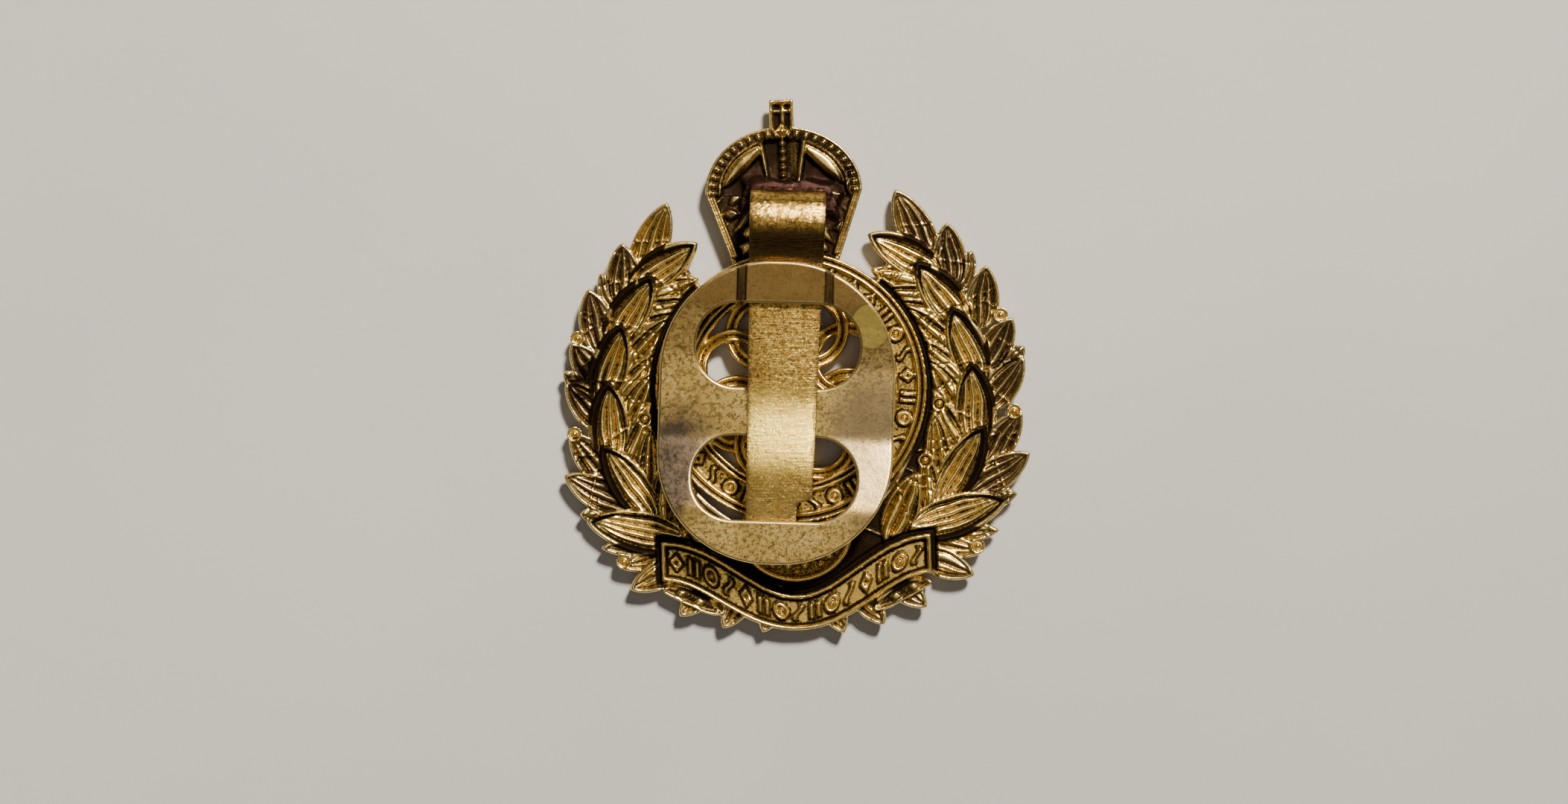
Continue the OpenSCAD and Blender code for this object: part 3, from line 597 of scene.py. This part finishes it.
def build_slider():
    rise = (SLIDER_GAP + SLIDER_T / 2) / 2.5
    line = [(0.3, 0), (0.25, 1.1), (0.05, 2.1), (-0.5, 2.83), (-1.3, 3.24), (-2.2, 3.36), (-3.1, 3.18), (-3.9, 2.9),
            (-4.6, 2.66), (-5.2, 2.51)]
    line = [(y, BACK_Z + h * rise) for y, h in line] + [(-5.9, STRIP_MID), (-6.8, STRIP_MID)]
    path = spline(line, 7)
    flat = np.arange(-7.2, -SLIDER_L, -0.4)
    path = np.vstack([path, np.column_stack([flat, np.full(len(flat), STRIP_MID)]), [[-SLIDER_L, STRIP_MID]]])
    way = np.gradient(path, axis=0)
    way /= np.linalg.norm(way, axis=1)[:, None]
    up = np.column_stack([way[:, 1], -way[:, 0]])
    t = SLIDER_T / 2
    n = 30
    verts, faces, beside = [], [], []
    for i, (y, z) in enumerate(path):
        w = SLIDER_W + (SLIDER_TIP_W - SLIDER_W) * np.clip((-y - 2) / (SLIDER_L - TAPER_END), 0, 1)
        left, right = -w / 2, w / 2
        if y < -SLIDER_L + CORNER_L:
            right -= CORNER_W
        for k in range(n + 1):
            x = left + (right - left) * k / n
            # The strip is very slightly crowned, and its foot sits flat on the crown.
            crown = 0.05 * (1 - (2 * k / n - 1) ** 4)
            for s in (1, -1):
                yy, zz = y + s * t * up[i, 0], z + s * t * up[i, 1] + (crown if s > 0 and i > 6 else 0)
                verts.append((x * MM, yy * MM, max(zz, BACK_Z - 0.04) * MM))
                beside.append(min(x - left, right - x))
    row = 2 * (n + 1)
    for i in range(len(path) - 1):
        for k in range(n):
            a = i * row + 2 * k
            faces.append((a, a + row, a + row + 2, a + 2))
            faces.append((a + 1, a + 3, a + row + 3, a + row + 1))
        faces.append((i * row, i * row + 1, (i + 1) * row + 1, (i + 1) * row))
        a = i * row + 2 * n
        faces.append((a, a + row, a + row + 1, a + 1))
    for i in (0, len(path) - 1):
        for k in range(n):
            a = i * row + 2 * k
            faces.append((a, a + 2, a + 3, a + 1) if i == 0 else (a, a + 1, a + 3, a + 2))
    me = bpy.data.meshes.new("slider_strip")
    me.from_pydata(verts, [], faces)
    me.attributes.new("along", "FLOAT", "POINT").data.foreach_set("value", [v[1] / MM for v in verts])
    me.attributes.new("beside", "FLOAT", "POINT").data.foreach_set("value", beside)
    me.polygons.foreach_set("use_smooth", [True] * len(me.polygons))
    me.set_sharp_from_angle(angle=math.radians(40))
    ob = bpy.data.objects.new("slider_strip", me)
    bpy.context.scene.collection.objects.link(ob)
    on_slider_line(ob)
    bevel = ob.modifiers.new("edge", "BEVEL")
    bevel.width, bevel.segments, bevel.limit_method, bevel.angle_limit = 0.11 * MM, 3, "ANGLE", math.radians(50)
    return ob


def build_braze():
    """Filler metal in a low hollow-sided fillet along the strip's foot, uneven at its edges."""
    field = Field(-4.8, 4.8, -1.6, 2.6, 0.07)
    X, Y = field.X, field.Y
    lump = field.noise(0.45)
    ends = np.maximum(Y - BRAZE_TOP - 0.2 * lump, -BRAZE_FOOT - Y - 0.08 * lump)
    f = np.maximum(np.abs(X) - BRAZE_HALF - 0.2 * lump, ends)
    rise = np.interp(Y, [-0.9, -0.4, -0.1, 0.1, 0.45, 0.65, 0.95, 1.5], [0.0, 0.1, 0.3, 0.55, 0.55, 0.3, 0.1, 0.0])
    rise = rise * smooth(3.7, 2.5, np.abs(X)) + 0.045 + 0.03 * lump
    top = BACK_Z + rise - rounded_rim(f, 0.2) * 0.6
    bottom = np.minimum(np.full(X.shape, BACK_Z - 0.12), top - 0.02)
    ob = plate_mesh("braze_fillet", field, f, top, bottom, {"lump": field.noise(0.3)})
    on_slider_line(ob)
    return ob


def build_plate():
    field = Field(-10.2, 10.2, -25.3, 0.8, GRID)
    X, Y = field.X, field.Y

    def rounded_box(cx, cy, w, h, r):
        qx, qy = np.abs(X - cx) - w / 2 + r, np.abs(Y - cy) - h / 2 + r
        return np.hypot(np.maximum(qx, 0), np.maximum(qy, 0)) + np.minimum(np.maximum(qx, qy), 0) - r

    f = rounded_box(0, -PLATE_L / 2, PLATE_W, PLATE_L, PLATE_CORNER)
    upper = -BRIDGE_H
    web_top = upper - OPENING_H
    web_low = web_top - WEB_H
    lower = web_low - OPENING_H
    for y in (upper - OPENING_H / 2, lower + OPENING_H / 2):
        f = np.maximum(f, -rounded_box(0, y, OPENING_W, OPENING_H, OPENING_H / 2 - 0.1))
    line = np.array([(1.5, WING_Z), (upper, WING_Z), (web_top + 1.8, WEB_Z), (web_low, WEB_Z), (lower + 0.7, BRIDGE_Z),
                     (-PLATE_L - 1, BRIDGE_Z)])[::-1]
    z = np.interp(Y, line[:, 0], line[:, 1])
    a = SLIDER_W / 2 + SIDE_PLAY
    hat = np.clip((a + HAT_SLOPE - np.abs(X + PLATE_SIDE)) / HAT_SLOPE, 0, 1) * (Y > upper - 0.6)
    hat = field.blur(hat, 0.07)
    z = field.blur(z, 0.3) + hat * (BRIDGE_Z - WING_Z)
    z = z + 0.015 * field.noise(1.4)
    top = z + PLATE_T / 2 - rounded_rim(f, 0.2)
    bottom = z - PLATE_T / 2 + rounded_rim(f, 0.14)
    edge_wear_and_highlight = smooth(-0.3, -0.04, f)
    ob = plate_mesh("retaining_plate_formed", field, f, top, bottom,
                    {"edge_wear_and_highlight": edge_wear_and_highlight, "fold": field.blur(hat * (1 - hat) * 4, 0.06), "px": X, "py": Y})
    ob.data.transform(Matrix.Translation((PLATE_SIDE * MM, -PLATE_DROP * MM, 0)))
    on_slider_line(ob)
    return ob


# --- materials ---------------------------------------------------------------------------------------------------
class Nodes:
    """A short way to write a material's nodes."""

    def __init__(self, name):
        self.mat = bpy.data.materials.new(name)
        self.mat.use_nodes = True
        self.tree = self.mat.node_tree
        self.bsdf = next(n for n in self.tree.nodes if n.type == "BSDF_PRINCIPLED")

    def add(self, kind, **settings):
        n = self.tree.nodes.new(kind)
        for k, v in settings.items():
            setattr(n, k, v)
        return n

    def link(self, value, socket):
        if hasattr(value, "is_output"):
            self.tree.links.new(value, socket)
        else:
            socket.default_value = value

    def attribute(self, name):
        return self.add("ShaderNodeAttribute", attribute_name=name).outputs["Fac"]

    def place(self, stretch=(1, 1, 1)):
        m = self.add("ShaderNodeMapping")
        self.link(self.add("ShaderNodeTexCoord").outputs["Object"], m.inputs["Vector"])
        m.inputs["Scale"].default_value = [PER_METRE * s for s in stretch]
        return m.outputs["Vector"]

    def noise(self, scale, detail=4.0, rough=0.55, vector=None):
        n = self.add("ShaderNodeTexNoise")
        self.link(vector or self.place(), n.inputs["Vector"])
        n.inputs["Scale"].default_value, n.inputs["Detail"].default_value = scale, detail
        n.inputs["Roughness"].default_value = rough
        return n.outputs["Fac"]

    def math(self, op, a, b=0.0, clamp=False):
        n = self.add("ShaderNodeMath", operation=op, use_clamp=clamp)
        self.link(a, n.inputs[0])
        self.link(b, n.inputs[1])
        return n.outputs[0]

    def span(self, value, a, b, lo=0.0, hi=1.0):
        n = self.add("ShaderNodeMapRange", interpolation_type="SMOOTHSTEP")
        self.link(value, n.inputs["Value"])
        for k, v in (("From Min", a), ("From Max", b), ("To Min", lo), ("To Max", hi)):
            n.inputs[k].default_value = v
        return n.outputs["Result"]

    def mix(self, fac, a, b):
        n = self.add("ShaderNodeMix", data_type="RGBA")
        self.link(fac, n.inputs["Factor"])
        for value, socket in ((a, n.inputs[6]), (b, n.inputs[7])):
            self.link(value if hasattr(value, "is_output") else (*value, 1), socket)
        return n.outputs[2]

    def bump(self, height, strength, distance):
        n = self.add("ShaderNodeBump")
        n.inputs["Strength"].default_value, n.inputs["Distance"].default_value = strength, distance
        self.link(height, n.inputs["Height"])
        self.link(n.outputs["Normal"], self.bsdf.inputs["Normal"])

    def finish(self, color, rough, metal=1.0):
        self.link(color, self.bsdf.inputs["Base Color"])
        self.link(rough, self.bsdf.inputs["Roughness"])
        self.link(metal, self.bsdf.inputs["Metallic"])
        return self.mat


def struck_brass():
    m = Nodes("struck_brass")
    soot_and_shade, ridge, tone, braze, rim = (m.attribute(k) for k in ("soot_and_shade", "ridge", "tone", "braze", "rim"))
    fine, mid, broad = m.noise(5.5, 6, 0.6), m.noise(1.2, 4), m.noise(0.22, 3)
    gold = m.mix(m.span(mid, 0.35, 0.68), (0.96, 0.65, 0.16), (0.78, 0.48, 0.09))
    brown = m.mix(fine, (0.17, 0.10, 0.04), (0.31, 0.19, 0.085))
    keep = m.math("ADD", tone, m.span(broad, 0.3, 0.7, -0.12, 0.12))
    clean = m.mix(m.span(keep, 0.25, 0.95), brown, gold)
    clean = m.mix(m.span(keep, 1.0, 1.3), clean, (0.95, 0.66, 0.2))
    # Raised ridges and the outline's rim are painted paler, partly as wear and partly as a painted highlight.
    rubbed_and_highlit = m.mix(m.math("MULTIPLY", ridge, 0.55), clean, (0.98, 0.78, 0.32))
    # Dirt, tarnish and painted shade darken the metal towards near-black.
    grime_and_shade = m.math("ADD", soot_and_shade, m.span(fine, 0.4, 0.75, -0.1, 0.3), clamp=True)
    grime_and_shade = m.span(grime_and_shade, 0.12, 0.85)
    grimed_and_shaded = m.mix(grime_and_shade, rubbed_and_highlit, m.mix(mid, (0.006, 0.004, 0.0025), (0.026, 0.015, 0.007)))
    edged = m.mix(m.math("MULTIPLY", rim, 0.5), grimed_and_shaded, (0.66, 0.50, 0.21))
    burnt = m.mix(m.span(fine, 0.35, 0.7), (0.010, 0.005, 0.004), (0.05, 0.024, 0.018))
    color = m.mix(m.math("MULTIPLY", braze, 0.92), edged, burnt)
    rough = m.math("ADD", m.span(grime_and_shade, 0, 1, 0.22, 0.6), m.span(fine, 0.3, 0.8, 0, 0.14))
    m.bump(m.noise(7, 4, 0.6), 0.2, 0.00005)
    return m.finish(color, rough)


def satin_brass(name, light, deep, scratches):
    m = Nodes(name)
    broad, blotch, fine = m.noise(0.3, 3), m.noise(1.0, 6, 0.65), m.noise(2.8, 7, 0.72)
    speck = m.noise(5.5, 3, 0.6)
    color = m.mix(m.span(broad, 0.35, 0.65), light, deep)
    color = m.mix(m.span(blotch, 0.42, 0.66, 0, 0.7), color, deep)
    color = m.mix(m.span(fine, 0.48, 0.57, 0, 0.85), color, tuple(0.3 * c for c in deep))
    color = m.mix(m.span(speck, 0.56, 0.66, 0, 0.8), color, (0.04, 0.025, 0.01))
    hair = m.noise(1.0, 3, 0.6, m.place(scratches))
    rough = m.math("ADD", m.span(blotch, 0.3, 0.7, 0.2, 0.28), m.span(fine, 0.4, 0.65, -0.02, 0.1))
    height = m.math("ADD", m.math("MULTIPLY", hair, 0.00001), m.math("MULTIPLY", fine, 0.000015))
    return m, color, rough, height


def slider_material():
    m, color, rough, height = satin_brass("slider_brass", (0.64, 0.41, 0.095), (0.40, 0.24, 0.05), (0.5, 9, 3))
    along = m.attribute("along")
    # A broad bump makes the shank look bowed, and it is painted bright where it would face the light.
    bow = m.math("MULTIPLY", m.span(along, -16.0, -22.5), 0.00065)
    m.bump(m.math("ADD", m.math("MULTIPLY", height, 3), bow), 0.8, 1.0)
    bright = m.math("MULTIPLY", m.span(along, -14.5, -19.0), m.span(along, -23.5, -20.5))
    color = m.mix(m.math("MULTIPLY", bright, 0.8), color, (0.96, 0.68, 0.14))
    rough = m.math("SUBTRACT", rough, m.span(along, -6.5, -4, 0, 0.1))
    # Painted shade: the slope down from the bend is painted dark brown.
    slope = m.math("MULTIPLY", m.span(along, -2.3, -3.2), m.span(along, -6.3, -5.4))
    color = m.mix(m.math("MULTIPLY", slope, 0.9), color, (0.06, 0.033, 0.013))
    # Painted shade along the strip's two side edges.
    beside = m.math("ADD", m.attribute("beside"), m.span(m.noise(0.8, 4), 0.3, 0.7, -0.12, 0.12))
    color = m.mix(m.span(beside, 0.3, 0.12, 0, 0.75), color, (0.13, 0.075, 0.025))
    low = m.span(along, -22.0, -25.0)
    color = m.mix(m.math("MULTIPLY", low, m.span(m.noise(0.7, 3), 0.35, 0.6, 0.1, 0.7)), color, (0.3, 0.2, 0.06))
    return m.finish(color, rough)


def plate_material():
    m, color, rough, height = satin_brass("plate_brass", (0.95, 0.65, 0.21), (0.68, 0.44, 0.12), (1, 1.4, 1))
    px, py = m.attribute("px"), m.attribute("py")

    def blob(cx, cy, rx, ry, edge, wavy):
        """1 inside an uneven oval on the plate, 0 outside it."""
        dx = m.math("DIVIDE", m.math("SUBTRACT", px, cx), rx)
        dy = m.math("DIVIDE", m.math("SUBTRACT", py, cy), ry)
        d = m.math("SQRT", m.math("ADD", m.math("MULTIPLY", dx, dx), m.math("MULTIPLY", dy, dy)))
        d = m.math("ADD", d, m.math("MULTIPLY", m.math("SUBTRACT", m.noise(0.8, 4), 0.5), wavy))
        return m.span(d, 1 + edge, 1 - edge)

    # A dark patch on the lower left arm is a painted dark reflection.
    color = m.mix(m.math("MULTIPLY", blob(-8.2, -16.6, 3.4, 4.4, 0.5, 0.8), 0.94), color, (0.055, 0.043, 0.036))
    # The right arm's slope is painted darker, as painted shade.
    color = m.mix(m.math("MULTIPLY", blob(7.6, -14.5, 3.2, 6, 0.5, 0.9), 0.7), color, (0.24, 0.18, 0.11))
    # Painted shade: the plate's upper part, over the bridge and its slopes, is painted darker.
    upper = m.math("ADD", py, m.math("MULTIPLY", px, 0.06))
    upper = m.math("ADD", m.span(upper, -8.3, -7.7, 0, 0.5), m.span(upper, -5.5, -3.5, 0, 0.36))
    color = m.mix(upper, color, (0.16, 0.09, 0.026))
    spot = blob(7.4, -5.0, 1.6, 1.75, 0.05, 0.12)
    color = m.mix(m.math("MULTIPLY", spot, 0.55), color, (0.62, 0.46, 0.10))
    halo = m.math("SUBTRACT", blob(7.4, -5.0, 1.74, 1.9, 0.05, 0.12), spot, clamp=True)
    color = m.mix(m.math("MULTIPLY", halo, 0.6), color, (0.16, 0.11, 0.04))
    edge_wear_and_highlight = m.attribute("edge_wear_and_highlight")
    # The plate's edge is painted paler, partly as wear and partly as a painted highlight.
    color = m.mix(m.math("MULTIPLY", edge_wear_and_highlight, 0.6), color, (0.9, 0.68, 0.28))
    # The sloped sides of the raised bridge are painted dark as shade.
    color = m.mix(m.math("MULTIPLY", m.attribute("fold"), 0.75), color, (0.06, 0.035, 0.015))
    rough = m.math("ADD", rough, m.math("MULTIPLY", edge_wear_and_highlight, 0.1))
    m.bump(height, 0.7, 1.0)
    return m.finish(color, rough)


def braze_material():
    m = Nodes("braze_metal")
    fine = m.noise(2.6, 5, 0.6)
    color = m.mix(m.span(fine, 0.35, 0.62), (0.014, 0.007, 0.006), (0.06, 0.028, 0.022))
    color = m.mix(m.span(m.noise(0.9, 3), 0.56, 0.66), color, (0.30, 0.13, 0.09))
    m.bump(fine, 0.5, 0.0001)
    return m.finish(color, m.span(fine, 0.3, 0.7, 0.4, 0.65))


def paper_material():
    m = Nodes("paper")
    fibre = m.noise(0.35, 6, 0.6)
    color = m.mix(m.span(m.noise(0.02, 2), 0.35, 0.65), (0.585, 0.565, 0.53), (0.555, 0.535, 0.505))
    color = m.mix(m.span(m.noise(0.9, 3), 0.62, 0.75, 0, 0.12), color, (0.4, 0.38, 0.36))
    across = m.add("ShaderNodeSeparateXYZ")
    m.link(m.place(), across.inputs[0])
    # Painted shade: the paper darkens towards the right and the bottom.
    falloff_shade = m.math("SUBTRACT", across.outputs["X"], m.math("MULTIPLY", across.outputs["Y"], 0.6))
    color = m.mix(m.span(falloff_shade, -60, 80, 0, 0.2), color, (0.25, 0.235, 0.22))
    m.bump(fibre, 0.25, 0.0001)
    return m.finish(color, 0.85, 0.0)


# --- stage -------------------------------------------------------------------------------------------------------
def area_light(name, aim, azimuth, elevation, size, watts, color, size_y=None):
    """A light that shines on aim, size wide, and size_y high where that differs."""
    data = bpy.data.lights.new(name, "AREA")
    data.energy, data.color, data.size = watts, color, size
    if size_y:
        data.shape, data.size_y = "RECTANGLE", size_y
    ob = bpy.data.objects.new(name, data)
    a, e = math.radians(azimuth), math.radians(elevation)
    way = Vector((math.cos(a) * math.cos(e), math.sin(a) * math.cos(e), math.sin(e)))
    ob.location = Vector(aim) + way * LIGHT_AWAY
    ob.rotation_euler = way.to_track_quat("Z", "Y").to_euler()
    bpy.context.scene.collection.objects.link(ob)


def build_stage():
    bpy.ops.mesh.primitive_plane_add(size=PAPER_SIZE, location=(0, 0, 0))
    floor = bpy.context.object
    floor.name = "paper_sheet"
    floor.data.materials.append(paper_material())
    world = bpy.data.worlds.new("room")
    bpy.context.scene.world = world
    world.use_nodes = True
    tree = world.node_tree
    back = tree.nodes["Background"]
    back.inputs["Color"].default_value = (0.8, 0.76, 0.71, 1)
    # Pale walls round a dim ceiling.
    way, split, height = (tree.nodes.new(k) for k in ("ShaderNodeTexCoord", "ShaderNodeSeparateXYZ",
                                                      "ShaderNodeMapRange"))
    tree.links.new(way.outputs["Generated"], split.inputs[0])
    tree.links.new(split.outputs["Z"], height.inputs["Value"])
    for k, v in (("From Min", 0.12), ("From Max", 0.5), ("To Min", 0.42), ("To Max", 0.04)):
        height.inputs[k].default_value = v
    tree.links.new(height.outputs["Result"], back.inputs["Strength"])
    area_light("key", (0, 0, 0.002), 62, 52, 0.09, 7.8, (1.0, 0.93, 0.82))
    area_light("ceiling", (-0.02, 0, 0.002), -90, 80, 0.34, 0.4, (1.0, 0.96, 0.9), 0.55)


def build_camera():
    cam = bpy.data.cameras.new("camera")
    cam.lens, cam.sensor_width = LENS, SENSOR
    ob = bpy.data.objects.new("camera", cam)
    bpy.context.scene.collection.objects.link(ob)
    wide = VIEW_W * MM
    ob.location = (VIEW_X * MM, VIEW_Y * MM, 0.002 + wide * cam.lens / cam.sensor_width)
    ob.rotation_euler = (0, 0, math.radians(VIEW_TURN))
    bpy.context.scene.camera = ob


def main():
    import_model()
    pieces = [(build_badge(), "badge", "badge_face", "struck_brass", struck_brass()),
              (build_slider(), "badge", "slider", "slider_brass", slider_material()),
              (build_braze(), "badge", "slider_braze", "braze", braze_material()),
              (build_plate(), "plate", "retaining_plate", "plate_brass", plate_material())]
    for ob, body, node, slot, mat in pieces:
        ob.data.materials.clear()
        ob.data.materials.append(mat)
        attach(ob, body)
        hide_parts(node)
    build_stage()
    build_camera()
    bpy.context.view_layer.update()


main()
